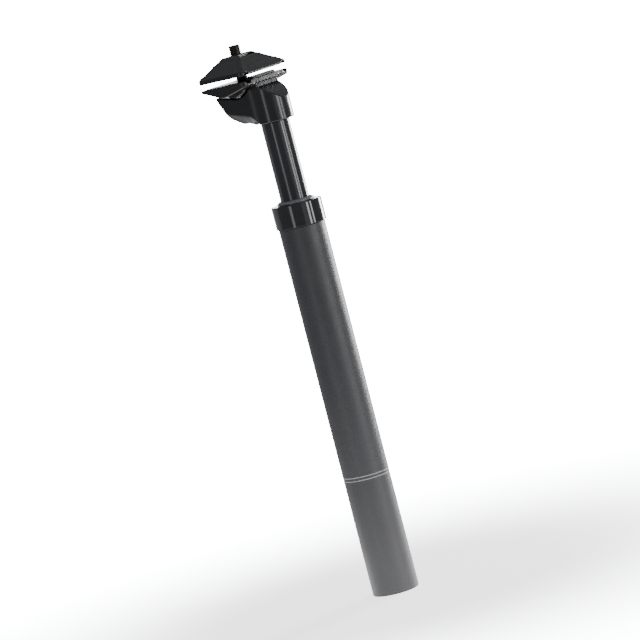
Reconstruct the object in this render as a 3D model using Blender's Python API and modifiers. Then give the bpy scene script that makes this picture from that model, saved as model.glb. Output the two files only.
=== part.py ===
"""Telescopic coil-spring seatpost for a bicycle, as separate named sub-parts.

Metres. The origin is the centre of the outer tube's bottom end, +Z runs up the post, +X points
to the front of the bicycle and +Y to its left. The post is at rest fully extended.
"""

import math

import bmesh
import bpy
from mathutils import Matrix, Vector

# Overall sizes.
TOTAL_LENGTH = 0.350  # bottom end of the outer tube to the middle of the saddle rails
POST_DIAMETER = 0.0309
SHAFT_DIAMETER = 0.019
TRAVEL = 0.050
PRELOAD_TRAVEL = 0.0075

# Clearances.
FIT = 0.0003  # between pieces that touch or are fixed to each other
RUNNING_FIT = 0.00015  # between pieces that slide or turn on each other, per side
PRESS_FIT = 0.0002  # between the shaft and its socket in the head, per side

# Outer tube and its collar.
TUBE_WALL = 0.0026
NECK_STEP = 0.00095  # how much the collar's thread is turned down from the tube
END_CHAMFER = 0.0008
COLLAR_HEIGHT = 0.015
COLLAR_PROUD = 0.0013  # how far the collar stands out from the tube
COLLAR_LIP = 0.0014  # thickness of the collar's inward lip
COLLAR_CHAMFER = 0.0007
WIPER_WALL = 0.0022  # shaft to the collar's lip
WIPER_LIP = 0.0006  # how far the wiper covers the collar's top
WIPER_HEIGHT = 0.0020
WIPER_GAP = 0.0022  # head to wiper at full travel

# Bushings, bumpers and keys.
BUSHING_LENGTH = 0.035
BUSHING_FLANGE = 0.0020
TOP_OUT_HEIGHT = 0.0085
RING_THICKNESS = 0.0012
RING_BITE = 0.0010  # depth of the retaining ring's groove in the shaft
RING_SIDE_GAP = 0.0012
RING_OPENING = 0.0030
SLIDER_LENGTH = 0.022
KEY_DIAMETER = 0.0026
KEY_LENGTH = 0.014
KEY_BITE = 0.0009  # how far a key stands into the tube's wall
KEY_OVERRUN = 0.008  # groove below a key at full travel

# Spring and preload.
END_PLUG_FLANGE = 0.003
END_PLUG_STEM = 0.012
END_PLUG_SIDE_GAP = 0.0010
SHAFT_WALL = 0.0025
SPRING_WIRE = 0.0034
SPRING_SIDE_GAP = 0.0013
SPRING_TURNS = 13
SPRING_END_PITCH = 1.15  # pitch of the closed end turns, in wire diameters
PLUG_RECESS = 0.0015
PLUG_LENGTH = 0.0165
PLUG_HEX = 0.008  # across flats
PLUG_HEX_DEPTH = 0.008
SEAT_THICKNESS = 0.0036
SEAT_PILOT = 0.0020
CORE_SIDE_GAP = 0.0016
CORE_END_GAP = 0.0012  # core to the shaft's end plug at full travel and full preload

# Head. Heights are above its bottom face.
HEAD_RISE = 0.032  # head's bottom face to the middle of the rails, which is the tilt axis
BARREL_STEP = 0.00375  # how far the barrel stands out from the shaft
SPIGOT_STEP = 0.0008  # how much the shaft's end in the head is turned down
SOCKET_DEPTH = 0.016
BROW_HEIGHT = 0.014  # top of the barrel's front wall
RIDGE_HEIGHT = 0.0248
RIDGE_FRONT = 0.0171  # bolt axis to the ridge's front edge
HORN_SIDE_STEP = 0.00175  # how far the horn's sides lie inside the barrel
HORN_REACH = 0.0169  # bolt axis to the horn's rear tip
HORN_FRONT_HEIGHT = 0.0209  # horn's top where it meets the clamp's seat
HORN_REAR_HEIGHT = 0.0229
HORN_LIP = 0.0014  # thickness of the horn's rear tip
HORN_CORNER = 0.0016
HEEL_REACH = 0.0120  # bolt axis to the hull's rear corner
HEEL_HEIGHT = 0.0055
KEEL_DROP = 0.0014  # how far the hull hangs below the head's bottom face
CHEEK_HEIGHT = 0.0084  # where the horn's flat sides begin, beside the bolt
CHEEK_HALF = 0.0050  # half width of the keel between the cheeks
CHEEK_SLOPE = math.radians(15.8)
CHEEK_FRONT = 0.0085  # bolt axis to the cheeks' front end
BOLT_WEB = 0.0008  # metal between the shaft's socket and the bolt's recess

# Clamp. Heights are above or below the tilt axis.
TILT_UP = math.radians(10)
TILT_DOWN = math.radians(6)
ROCKER_RADIUS = 0.0117
ROCKER_REAR = 0.0080  # how far the rocker's round reaches behind the tilt axis
ROCKER_FRONT = 0.0093
RAIL_DIAMETER = 0.007
RAIL_SPACING = 0.044
RAIL_FIT = 0.0001
JAW_REAR = 0.01705  # tilt axis to the jaws' rear end
JAW_FRONT = 0.01945
JAW_SIDE = 0.005  # rail axis to the jaw's outer side
JAW_WALL = 0.0049  # metal under a rail
JAW_GAP = 0.0036  # between the two clamps
JAW_ROUND = 0.0030
JAW_REAR_EDGE = 0.0029  # the lower clamp's rear edge
JAW_FRONT_EDGE = 0.0050  # the lower clamp's front edge
HOLLOW_CEILING = 0.0042  # the relief over the head's ridge
HOLLOW_LIP = 0.00125  # metal in front of that relief
EAVE_HEIGHT = 0.0043
BROW_EAVE_HEIGHT = 0.0033  # the upper clamp's front edge
ROOF_HEIGHT = 0.0157
ROOF_REAR = 0.005
ROOF_FRONT = 0.006
ROOF_HALF_FLAT = 0.008
NUT_SEAT_R = 0.009  # the upper clamp's round that carries the nut
NUT_HEIGHT = 0.015
NUT_HALF = 0.006
NUT_WIDTH = 0.017
NUT_FIT = 0.0005

# Bolt.
BOLT_DIAMETER = 0.008
BOLT_HEAD_DIAMETER = 0.013
BOLT_HEAD_HEIGHT = 0.008
BOLT_HEX = 0.006  # across flats
BOLT_HEX_DEPTH = 0.0052
BOLT_SINK = 0.0020  # head's bottom face to the bolt's
BOLT_STAND = 0.0064  # how far the bolt stands out of the nut
BOLT_CHAMFER = 0.0008
WASHER_THICKNESS = 0.0012
HOLE_FIT = 0.0003
RECESS_FIT = 0.0003

SEGMENTS = 48
FINE_ARC = 10
COARSE_ARC = 5

# Radii and heights that follow from the sizes above.
TUBE_R = POST_DIAMETER / 2
BORE_R = TUBE_R - TUBE_WALL
NECK_R = TUBE_R - NECK_STEP
COLLAR_R = TUBE_R + COLLAR_PROUD
COLLAR_BORE_R = NECK_R + FIT
SHAFT_R = SHAFT_DIAMETER / 2
SHAFT_BORE_R = SHAFT_R - SHAFT_WALL
SLEEVE_R = BORE_R - FIT
RUNNER_BORE_R = SHAFT_R + RUNNING_FIT
LIP_R = SHAFT_R + WIPER_WALL
KEY_R = KEY_DIAMETER / 2
KEY_CENTRE_R = BORE_R + KEY_BITE - KEY_R

HEAD_Z = TOTAL_LENGTH - HEAD_RISE
COLLAR_TOP_Z = HEAD_Z - TRAVEL - WIPER_GAP - WIPER_HEIGHT - FIT
LIP_Z = COLLAR_TOP_Z - COLLAR_LIP
BUSHING_TOP_Z = LIP_Z - FIT
TUBE_TOP_Z = BUSHING_TOP_Z - BUSHING_FLANGE - FIT
BUSHING_Z = BUSHING_TOP_Z - BUSHING_FLANGE - BUSHING_LENGTH
COLLAR_Z = COLLAR_TOP_Z - COLLAR_HEIGHT
SHOULDER_Z = COLLAR_Z - FIT
TOP_OUT_Z = BUSHING_Z - FIT - TOP_OUT_HEIGHT
RING_Z = TOP_OUT_Z - FIT - RING_THICKNESS
SLIDER_Z = RING_Z - FIT - SLIDER_LENGTH
SHAFT_Z = SLIDER_Z
KEY_Z = SLIDER_Z + (SLIDER_LENGTH - KEY_LENGTH) / 2
END_PLUG_Z = SHAFT_Z - FIT - END_PLUG_FLANGE
SEAT_Z = PLUG_RECESS + PLUG_LENGTH + FIT
SPRING_Z = SEAT_Z + SEAT_THICKNESS + FIT
SPRING_TOP_Z = END_PLUG_Z - FIT
SPRING_R = BORE_R - SPRING_SIDE_GAP - SPRING_WIRE / 2
CORE_Z = SPRING_Z + SEAT_PILOT
CORE_R = SPRING_R - SPRING_WIRE / 2 - CORE_SIDE_GAP
CORE_TOP_Z = END_PLUG_Z - TRAVEL - PRELOAD_TRAVEL - CORE_END_GAP

SPIGOT_R = SHAFT_R - SPIGOT_STEP
SOCKET_R = SPIGOT_R + PRESS_FIT
BARREL_R = SHAFT_R + BARREL_STEP
HORN_HALF = BARREL_R - HORN_SIDE_STEP
RECESS_R = BOLT_HEAD_DIAMETER / 2 + RECESS_FIT
BOLT_X = -(SOCKET_R + BOLT_WEB + RECESS_R)
HORN_X = BOLT_X - HORN_REACH
SEAT_R = ROCKER_RADIUS + FIT
PIVOT_Z = TOTAL_LENGTH

RAIL_R = RAIL_DIAMETER / 2 + RAIL_FIT
RAIL_Y = RAIL_SPACING / 2
JAW_Y = RAIL_Y + JAW_SIDE
ROCKER_HALF = BARREL_R + FIT
JAW_DEPTH = RAIL_R + JAW_WALL

BOLT_R = BOLT_DIAMETER / 2
BOLT_HOLE_R = BOLT_R + HOLE_FIT
BOLT_Z = HEAD_Z + BOLT_SINK
WASHER_Z = BOLT_Z + BOLT_HEAD_HEIGHT + FIT
RECESS_TOP_Z = WASHER_Z + WASHER_THICKNESS + FIT
BOLT_TOP_Z = PIVOT_Z + NUT_HEIGHT + BOLT_STAND
SLOT_HALF_WIDTH = BOLT_R + 1.5 * HOLE_FIT


def slot_half_length(distance):
    """Half the slot that the upright bolt needs at a distance from the tilt axis, over the whole tilt."""
    tilt = max(TILT_UP, TILT_DOWN)
    return distance * math.tan(tilt) + BOLT_R / math.cos(tilt) + HOLE_FIT


# Scene, collections and materials.


def clear_scene():
    for obj in list(bpy.data.objects):
        bpy.data.objects.remove(obj, do_unlink=True)


def add_collection(name, is_hidden):
    collection = bpy.data.collections.new(name)
    bpy.context.scene.collection.children.link(collection)
    collection.hide_render = is_hidden
    return collection


def add_material(name, color, roughness, metallic):
    material = bpy.data.materials.new(name)
    material.use_nodes = True
    shader = material.node_tree.nodes["Principled BSDF"]
    shader.inputs["Base Color"].default_value = (*color, 1.0)
    shader.inputs["Roughness"].default_value = roughness
    shader.inputs["Metallic"].default_value = metallic
    return material


clear_scene()
PARTS = add_collection("suspension_seatpost", False)
CUTTERS = add_collection("cutters", True)

SATIN_BLACK = add_material("satin_black_anodised", (0.075, 0.075, 0.080), 0.42, 0.9)
GLOSS_BLACK = add_material("gloss_black_anodised", (0.022, 0.022, 0.026), 0.16, 0.8)
PAINTED_HEAD = add_material("gloss_black_painted", (0.026, 0.026, 0.030), 0.20, 0.0)
DARK_CAST = add_material("dark_clamp", (0.020, 0.020, 0.021), 0.38, 0.6)
BOLT_STEEL = add_material("black_oxide_steel", (0.16, 0.15, 0.14), 0.35, 1.0)
BRIGHT_STEEL = add_material("spring_steel", (0.55, 0.55, 0.56), 0.25, 1.0)
RUBBER = add_material("wiper_rubber", (0.012, 0.012, 0.012), 0.60, 0.0)
ACETAL = add_material("bushing_acetal", (0.62, 0.60, 0.55), 0.45, 0.0)
ELASTOMER = add_material("bumper_elastomer", (0.28, 0.30, 0.08), 0.55, 0.0)
ALUMINIUM = add_material("bare_aluminium", (0.66, 0.66, 0.68), 0.32, 1.0)


# Outlines, as lists of points in a plane.


def arc(centre, radius, start, end, steps):
    """Points on a circle from one angle to another, both ends included."""
    angles = [start + (end - start) * i / steps for i in range(steps + 1)]
    return [(centre[0] + radius * math.cos(a), centre[1] + radius * math.sin(a)) for a in angles]


def filleted(corners, steps=COARSE_ARC):
    """A closed outline through (u, v, radius) corners, each rounded to its radius."""
    outline = []
    for i, (u, v, radius) in enumerate(corners):
        here = Vector((u, v))
        before = (Vector(corners[i - 1][:2]) - here).normalized()
        after = (Vector(corners[(i + 1) % len(corners)][:2]) - here).normalized()
        if radius == 0:
            outline.append((u, v))
            continue
        half = before.angle(after) / 2
        centre = here + (before + after).normalized() * radius / math.sin(half)
        first = here + before * radius / math.tan(half) - centre
        last = here + after * radius / math.tan(half) - centre
        start = math.atan2(first.y, first.x)
        sweep = (math.atan2(last.y, last.x) - start + math.pi) % math.tau - math.pi
        outline += arc(centre, radius, start, start + sweep, steps)
    return outline


def stadium(half_length, half_width, steps=FINE_ARC):
    """A slot's outline, long along its first direction."""
    reach = half_length - half_width
    front = arc((reach, 0), half_width, -math.pi / 2, math.pi / 2, steps)
    rear = arc((-reach, 0), half_width, math.pi / 2, 1.5 * math.pi, steps)
    return front + rear


# Solids.


def finish(obj, material, position, parent):
    """Dresses an object, and puts it at a world position under its parent."""
    PARTS.objects.link(obj)
    obj.data.materials.append(material)
    obj.data.shade_smooth()
    obj.data.set_sharp_from_angle(angle=math.radians(30))
    base = parent.location if parent else Vector()
    obj.parent = parent
    obj.location = Vector(position) - base
    return obj


def turned(name, profile, is_ring, material, position, parent=None, segments=SEGMENTS):
    """A profile of (radius, height) points turned round +Z. It runs down its outer side."""
    mesh = bpy.data.meshes.new(name)
    edges = [(i, i + 1) for i in range(len(profile) - 1)]
    if is_ring:
        edges.append((len(profile) - 1, 0))
    mesh.from_pydata([(r, 0, z) for r, z in profile], edges, [])
    obj = bpy.data.objects.new(name, mesh)
    screw = obj.modifiers.new("Turn", "SCREW")
    screw.axis = "Z"
    screw.angle = math.tau
    screw.steps = screw.render_steps = segments
    screw.use_merge_vertices = True
    screw.merge_threshold = 1e-6
    screw.use_smooth_shade = True
    return finish(obj, material, position, parent)


def rod_profile(radius, height, chamfer):
    """Half the section of a solid rod with chamfered ends, standing on its origin."""
    return [
        (0, height),
        (radius - chamfer, height),
        (radius, height - chamfer),
        (radius, chamfer),
        (radius - chamfer, 0),
        (0, 0),
    ]


def tube_profile(outer, inner, height, chamfer):
    """The section of a straight tube with chamfered outer edges, standing on its origin."""
    return [
        (outer - chamfer, height),
        (outer, height - chamfer),
        (outer, chamfer),
        (outer - chamfer, 0),
        (inner, 0),
        (inner, height),
    ]


def slab_mesh(name, outline, thickness, turn):
    """A flat outline given a thickness about its plane, then turned into place."""
    curve = bpy.data.curves.new(name, "CURVE")
    curve.dimensions = "2D"
    curve.fill_mode = "BOTH"
    curve.extrude = thickness / 2
    spline = curve.splines.new("POLY")
    spline.points.add(len(outline) - 1)
    for point, (u, v) in zip(spline.points, outline):
        point.co = (u, v, 0, 1)
    spline.use_cyclic_u = True
    guide = bpy.data.objects.new(name, curve)
    CUTTERS.objects.link(guide)
    bpy.context.view_layer.update()
    evaluated = guide.evaluated_get(bpy.context.evaluated_depsgraph_get())
    mesh = bpy.data.meshes.new_from_object(evaluated)
    bpy.data.objects.remove(guide)
    shape = bmesh.new()
    shape.from_mesh(mesh)
    bmesh.ops.remove_doubles(shape, verts=shape.verts, dist=1e-7)
    bmesh.ops.transform(shape, matrix=turn, verts=shape.verts)
    bmesh.ops.recalc_face_normals(shape, faces=shape.faces)
    shape.to_mesh(mesh)
    shape.free()
    return mesh


SIDE_VIEW = Matrix.Rotation(math.pi / 2, 4, "X")  # outline in X and Z, thickness along Y
FRONT_VIEW = Matrix(((0, 0, 1, 0), (1, 0, 0, 0), (0, 1, 0, 0), (0, 0, 0, 1)))  # Y and Z, along X
PLAN_VIEW = Matrix.Identity(4)  # outline in X and Y, thickness along Z


def cutter(name, mesh, position):
    """A hidden solid that only serves Booleans."""
    obj = bpy.data.objects.new(name, mesh)
    CUTTERS.objects.link(obj)
    obj.hide_render = True
    obj.display_type = "WIRE"
    obj.location = position
    return obj


def slab_cutter(name, outline, thickness, turn, position):
    return cutter(name, slab_mesh(name, outline, thickness, turn), position)


def rod_cutter(name, radius, length, position, turn=PLAN_VIEW, segments=SEGMENTS):
    """A rod centred on its position, along +Z unless it is turned."""
    mesh = bpy.data.meshes.new(name)
    shape = bmesh.new()
    bmesh.ops.create_cone(
        shape,
        cap_ends=True,
        segments=segments,
        radius1=radius,
        radius2=radius,
        depth=length,
        matrix=turn,
    )
    shape.to_mesh(mesh)
    shape.free()
    return cutter(name, mesh, position)


def boolean(obj, tool, operation="DIFFERENCE"):
    modifier = obj.modifiers.new(tool.name, "BOOLEAN")
    modifier.operation = operation
    modifier.object = tool
    return obj


def pivot(name, position, parent=None):
    """An empty on a joint's axis, which carries the pieces that move with it."""
    empty = bpy.data.objects.new(name, None)
    empty.empty_display_size = 0.01
    PARTS.objects.link(empty)
    empty.location = position
    empty.parent = parent
    return empty


# Outer post.


def build_outer_tube():
    profile = [
        (NECK_R - END_CHAMFER / 2, TUBE_TOP_Z),
        (NECK_R, TUBE_TOP_Z - END_CHAMFER / 2),
        (NECK_R, SHOULDER_Z),
        (TUBE_R - END_CHAMFER / 2, SHOULDER_Z),
        (TUBE_R, SHOULDER_Z - END_CHAMFER / 2),
        (TUBE_R, END_CHAMFER),
        (TUBE_R - END_CHAMFER, 0),
        (BORE_R, 0),
        (BORE_R, TUBE_TOP_Z),
    ]
    tube = turned("outer_tube", profile, True, SATIN_BLACK, (0, 0, 0))
    low = KEY_Z - TRAVEL - KEY_OVERRUN
    high = TUBE_TOP_Z + BUSHING_FLANGE
    for side, sign in (("left", 1), ("right", -1)):
        place = (0, sign * KEY_CENTRE_R, (low + high) / 2)
        groove = rod_cutter(f"key_groove_{side}", KEY_R + FIT, high - low, place, segments=16)
        boolean(tube, groove)


def build_top_collar():
    profile = [
        (COLLAR_R - 2 * COLLAR_CHAMFER, COLLAR_HEIGHT),
        (COLLAR_R - COLLAR_CHAMFER / 2, COLLAR_HEIGHT - COLLAR_CHAMFER / 2),
        (COLLAR_R, COLLAR_HEIGHT - 2 * COLLAR_CHAMFER),
        (COLLAR_R, COLLAR_CHAMFER),
        (COLLAR_R - COLLAR_CHAMFER, 0),
        (COLLAR_BORE_R, 0),
        (COLLAR_BORE_R, COLLAR_HEIGHT - COLLAR_LIP),
        (LIP_R, COLLAR_HEIGHT - COLLAR_LIP),
        (LIP_R, COLLAR_HEIGHT),
    ]
    turned("top_collar", profile, True, GLOSS_BLACK, (0, 0, COLLAR_Z))


def build_upper_bushing():
    profile = [
        (NECK_R, BUSHING_LENGTH + BUSHING_FLANGE),
        (NECK_R, BUSHING_LENGTH),
        (SLEEVE_R, BUSHING_LENGTH),
        (SLEEVE_R, 0),
        (RUNNER_BORE_R, 0),
        (RUNNER_BORE_R, BUSHING_LENGTH + BUSHING_FLANGE),
    ]
    turned("upper_bushing", profile, True, ACETAL, (0, 0, BUSHING_Z))


def build_wiper_seal():
    outer = LIP_R + WIPER_LIP
    stem = COLLAR_LIP + FIT
    top = stem + WIPER_HEIGHT
    profile = [
        (RUNNER_BORE_R + WIPER_LIP, top),
        (outer - WIPER_LIP, top - WIPER_HEIGHT / 4),
        (outer, top - WIPER_HEIGHT / 2),
        (outer, stem),
        (LIP_R - FIT, stem),
        (LIP_R - FIT, 0),
        (RUNNER_BORE_R, 0),
        (RUNNER_BORE_R, top - WIPER_HEIGHT / 4),
    ]
    turned("wiper_seal", profile, True, RUBBER, (0, 0, LIP_Z))


def build_top_out_bumper():
    profile = tube_profile(SLEEVE_R, SHAFT_R + FIT, TOP_OUT_HEIGHT, END_CHAMFER)
    turned("top_out_bumper", profile, True, ELASTOMER, (0, 0, TOP_OUT_Z))


def build_main_spring():
    """A coil of round wire whose first and last turns are closed."""
    points_a_turn = 16
    low = SPRING_Z + SPRING_WIRE / 2
    high = SPRING_TOP_Z - SPRING_WIRE / 2
    end_rise = SPRING_END_PITCH * SPRING_WIRE
    pitch = (high - low - 2 * end_rise) / (SPRING_TURNS - 2)
    curve = bpy.data.curves.new("main_spring", "CURVE")
    curve.dimensions = "3D"
    curve.bevel_depth = SPRING_WIRE / 2
    curve.bevel_resolution = 2
    curve.use_fill_caps = True
    curve.twist_mode = "Z_UP"
    spline = curve.splines.new("POLY")
    spline.points.add(SPRING_TURNS * points_a_turn)
    for i, point in enumerate(spline.points):
        turn = i / points_a_turn
        middle = min(max(turn - 1, 0), SPRING_TURNS - 2)
        rise = pitch * middle + end_rise * (turn - middle)
        angle = math.tau * turn
        point.co = (SPRING_R * math.cos(angle), SPRING_R * math.sin(angle), rise, 1)
    spring = bpy.data.objects.new("main_spring", curve)
    PARTS.objects.link(spring)
    curve.materials.append(BRIGHT_STEEL)
    spring.location = (0, 0, low)


# Preload.


def build_preload():
    carrier = pivot("preload_travel", (0, 0, SEAT_Z))
    seat_profile = [
        (0, SEAT_THICKNESS + SEAT_PILOT),
        (CORE_R, SEAT_THICKNESS + SEAT_PILOT),
        (CORE_R, SEAT_THICKNESS),
        (SLEEVE_R, SEAT_THICKNESS),
        (SLEEVE_R, 0),
        (0, 0),
    ]
    turned("spring_seat", seat_profile, False, ALUMINIUM, (0, 0, SEAT_Z), carrier)
    core = rod_profile(CORE_R, CORE_TOP_Z - CORE_Z, END_CHAMFER)
    turned("bumper_core", core, False, ELASTOMER, (0, 0, CORE_Z), carrier)
    plug_profile = rod_profile(SLEEVE_R, PLUG_LENGTH, END_CHAMFER)
    plug = turned("preload_plug", plug_profile, False, ALUMINIUM, (0, 0, PLUG_RECESS), carrier)
    boolean(plug, hex_cutter("plug_hex", PLUG_HEX, PLUG_HEX_DEPTH, (0, 0, PLUG_RECESS)))


def hex_cutter(name, across_flats, depth, mouth):
    """A hexagonal key's space, running up from its mouth and a little below it."""
    below = 0.002
    place = Vector(mouth) + Vector((0, 0, (depth - below) / 2))
    return rod_cutter(name, across_flats / math.sqrt(3), depth + below, place, segments=6)


# Inner post.


def build_inner_shaft(carrier):
    top = HEAD_Z + SOCKET_DEPTH - FIT - SHAFT_Z
    groove_low = RING_Z - FIT - SHAFT_Z
    groove_high = RING_Z + RING_THICKNESS + FIT - SHAFT_Z
    shoulder = HEAD_Z - FIT - SHAFT_Z
    profile = [
        (SPIGOT_R - END_CHAMFER / 2, top),
        (SPIGOT_R, top - END_CHAMFER / 2),
        (SPIGOT_R, shoulder),
        (SHAFT_R, shoulder),
        (SHAFT_R, groove_high),
        (SHAFT_R - RING_BITE, groove_high),
        (SHAFT_R - RING_BITE, groove_low),
        (SHAFT_R, groove_low),
        (SHAFT_R, 0),
        (SHAFT_BORE_R, 0),
        (SHAFT_BORE_R, top),
    ]
    turned("inner_shaft", profile, True, GLOSS_BLACK, (0, 0, SHAFT_Z), carrier)


def build_slider(carrier):
    profile = tube_profile(BORE_R - RUNNING_FIT, SHAFT_R + FIT, SLIDER_LENGTH, END_CHAMFER)
    slider = turned("slider_bushing", profile, True, ACETAL, (0, 0, SLIDER_Z), carrier)
    key_profile = rod_profile(KEY_R, KEY_LENGTH, KEY_R / 4)
    for side, sign in (("left", 1), ("right", -1)):
        y = sign * KEY_CENTRE_R
        pocket_length = KEY_LENGTH + 2 * FIT
        middle = (0, y, KEY_Z + KEY_LENGTH / 2)
        pocket = rod_cutter(f"key_pocket_{side}", KEY_R + FIT, pocket_length, middle, segments=16)
        boolean(slider, pocket)
        name = f"guide_key_{side}"
        turned(name, key_profile, False, BRIGHT_STEEL, (0, y, KEY_Z), carrier, segments=16)


def build_retaining_ring(carrier):
    outer = BORE_R - RING_SIDE_GAP
    inner = SHAFT_R - RING_BITE + FIT
    profile = tube_profile(outer, inner, RING_THICKNESS, RING_THICKNESS / 6)
    ring = turned("slider_retaining_ring", profile, True, BRIGHT_STEEL, (0, 0, RING_Z), carrier)
    half = RING_OPENING / 2
    outline = [(inner / 2, -half), (2 * outer, -half), (2 * outer, half), (inner / 2, half)]
    place = (0, 0, RING_Z + RING_THICKNESS / 2)
    boolean(ring, slab_cutter("ring_opening", outline, 3 * RING_THICKNESS, PLAN_VIEW, place))


def build_end_plug(carrier):
    flange = BORE_R - END_PLUG_SIDE_GAP
    stem = SHAFT_BORE_R - FIT
    top = END_PLUG_FLANGE + END_PLUG_STEM
    profile = [
        (0, top),
        (stem - END_CHAMFER, top),
        (stem, top - END_CHAMFER),
        (stem, END_PLUG_FLANGE),
        (flange, END_PLUG_FLANGE),
        (flange, END_CHAMFER),
        (flange - END_CHAMFER, 0),
        (0, 0),
    ]
    turned("shaft_end_plug", profile, False, ALUMINIUM, (0, 0, END_PLUG_Z), carrier)


def head_side_outline():
    """The head seen from its side: barrel front, sloping brow, ridge, clamp seat and horn."""
    front_reach = math.sqrt(SEAT_R**2 - (HEAD_RISE - RIDGE_HEIGHT) ** 2)
    rear_reach = math.sqrt(SEAT_R**2 - (HEAD_RISE - HORN_FRONT_HEIGHT) ** 2)
    front = math.atan2(RIDGE_HEIGHT - HEAD_RISE, front_reach)
    rear = math.atan2(HORN_FRONT_HEIGHT - HEAD_RISE, -rear_reach)
    seat = arc((BOLT_X, HEAD_RISE), SEAT_R, front, rear, 2 * FINE_ARC)
    ridge_x = BOLT_X + RIDGE_FRONT
    brow = Vector((BARREL_R - ridge_x, BROW_HEIGHT - RIDGE_HEIGHT))
    bulge = 0.04
    slope = []
    for i in range(COARSE_ARC, -1, -1):
        t = i / COARSE_ARC
        lift = 4 * bulge * t * (1 - t)
        slope.append((ridge_x + brow.x * t - brow.y * lift, RIDGE_HEIGHT + brow.y * t + brow.x * lift))
    heel_x = BOLT_X - HEEL_REACH
    middle_x = (heel_x + BOLT_X) / 2
    underside = [
        (HORN_X, HORN_REAR_HEIGHT),
        (HORN_X + HORN_LIP / 3, HORN_REAR_HEIGHT - HORN_LIP),
        (heel_x, HEEL_HEIGHT),
        (middle_x, HEEL_HEIGHT / 3),
        (BOLT_X, -KEEL_DROP * 2 / 3),
        (-SHAFT_R - FIT - KEEL_DROP, -KEEL_DROP),
        (-SHAFT_R - FIT, 0),
    ]
    return [(BARREL_R, 0)] + slope + seat + underside


def head_plan_outline():
    """The head seen from above: the round barrel with the horn's flat sides behind it."""
    side = math.pi - math.asin(HORN_HALF / BARREL_R)
    corners = [
        (0, HORN_HALF, 0),
        (HORN_X, HORN_HALF, HORN_CORNER),
        (HORN_X, -HORN_HALF, HORN_CORNER),
        (0, -HORN_HALF, 0),
    ]
    return arc((0, 0), BARREL_R, -side, side, 4 * FINE_ARC) + filleted(corners)[1:-1]


def build_seat_head(carrier):
    deep = 4 * BARREL_R
    mesh = slab_mesh("seat_head", head_side_outline(), deep, SIDE_VIEW)
    head = bpy.data.objects.new("seat_head", mesh)
    finish(head, PAINTED_HEAD, (0, 0, HEAD_Z), carrier)
    plan = head_plan_outline()
    high = 4 * RIDGE_HEIGHT
    boolean(head, slab_cutter("head_plan", plan, high, PLAN_VIEW, (0, 0, HEAD_Z)), "INTERSECT")
    rise = CHEEK_HEIGHT + KEEL_DROP
    spread = HORN_HALF - CHEEK_HALF
    over = 0.4
    length = 2 * HORN_REACH
    for side, sign in (("left", 1), ("right", -1)):
        inner = (sign * (CHEEK_HALF - over * spread), -KEEL_DROP - over * rise)
        outer = (sign * (HORN_HALF + over * spread), CHEEK_HEIGHT + over * rise)
        corner = (sign * 2 * BARREL_R, -KEEL_DROP - over * rise)
        place = (BOLT_X, 0, HEAD_Z)
        slide = Matrix.Translation((CHEEK_FRONT - length / 2, 0, 0)) @ FRONT_VIEW
        tool = slab_cutter(f"cheek_{side}", [inner, corner, outer], length, slide, place)
        tool.rotation_euler.y = CHEEK_SLOPE
        boolean(head, tool)
    socket_middle = HEAD_Z + SOCKET_DEPTH / 2 - KEEL_DROP
    socket = rod_cutter(
        "shaft_socket", SOCKET_R, SOCKET_DEPTH + 2 * KEEL_DROP, (0, 0, socket_middle)
    )
    boolean(head, socket)
    hole = rod_cutter("head_bolt_hole", BOLT_HOLE_R, 2 * HEAD_RISE, (BOLT_X, 0, HEAD_Z), segments=24)
    boolean(head, hole)
    below = 2 * KEEL_DROP
    recess_length = RECESS_TOP_Z - HEAD_Z + below
    place = (BOLT_X, 0, RECESS_TOP_Z - recess_length / 2)
    boolean(head, rod_cutter("bolt_recess", RECESS_R, recess_length, place, segments=32))


def build_bolt(carrier):
    """The washer stays with the head, and the bolt turns on its own axis."""
    washer = tube_profile(BOLT_HEAD_DIAMETER / 2, BOLT_HOLE_R, WASHER_THICKNESS, FIT)
    turned("bolt_washer", washer, True, BOLT_STEEL, (BOLT_X, 0, WASHER_Z), carrier, segments=32)
    turn = pivot("clamp_bolt_turn", (BOLT_X, 0, BOLT_Z))
    head_r = BOLT_HEAD_DIAMETER / 2
    top = BOLT_TOP_Z - BOLT_Z
    profile = [
        (0, top),
        (BOLT_R - BOLT_CHAMFER, top),
        (BOLT_R, top - BOLT_CHAMFER),
        (BOLT_R, BOLT_HEAD_HEIGHT),
        (head_r - FIT, BOLT_HEAD_HEIGHT),
        (head_r, BOLT_HEAD_HEIGHT - FIT),
        (head_r, BOLT_CHAMFER),
        (head_r - BOLT_CHAMFER, 0),
        (0, 0),
    ]
    bolt = turned(
        "clamp_bolt", profile, False, BOLT_STEEL, (BOLT_X, 0, BOLT_Z), turn, segments=32
    )
    boolean(bolt, hex_cutter("bolt_hex", BOLT_HEX, BOLT_HEX_DEPTH, (BOLT_X, 0, BOLT_Z)))


# Clamp.


def clamp_solid(name, side, front, material, carrier):
    """A piece whose side outline and front outline are both swept straight and meet."""
    place = (BOLT_X, 0, PIVOT_Z)
    wide = 3 * JAW_Y
    obj = bpy.data.objects.new(name, slab_mesh(name, side, wide, SIDE_VIEW))
    finish(obj, material, place, carrier)
    deep = 3 * max(JAW_REAR, JAW_FRONT)
    boolean(obj, slab_cutter(f"{name}_front", front, deep, FRONT_VIEW, place), "INTERSECT")
    turn = Matrix.Rotation(math.pi / 2, 4, "Y")
    for side_name, sign in (("left", 1), ("right", -1)):
        rail_place = (BOLT_X, sign * RAIL_Y, TOTAL_LENGTH)
        channel_name = f"{name}_channel_{side_name}"
        boolean(obj, rod_cutter(channel_name, RAIL_R, deep, rail_place, turn, 32))
    return obj


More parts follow.
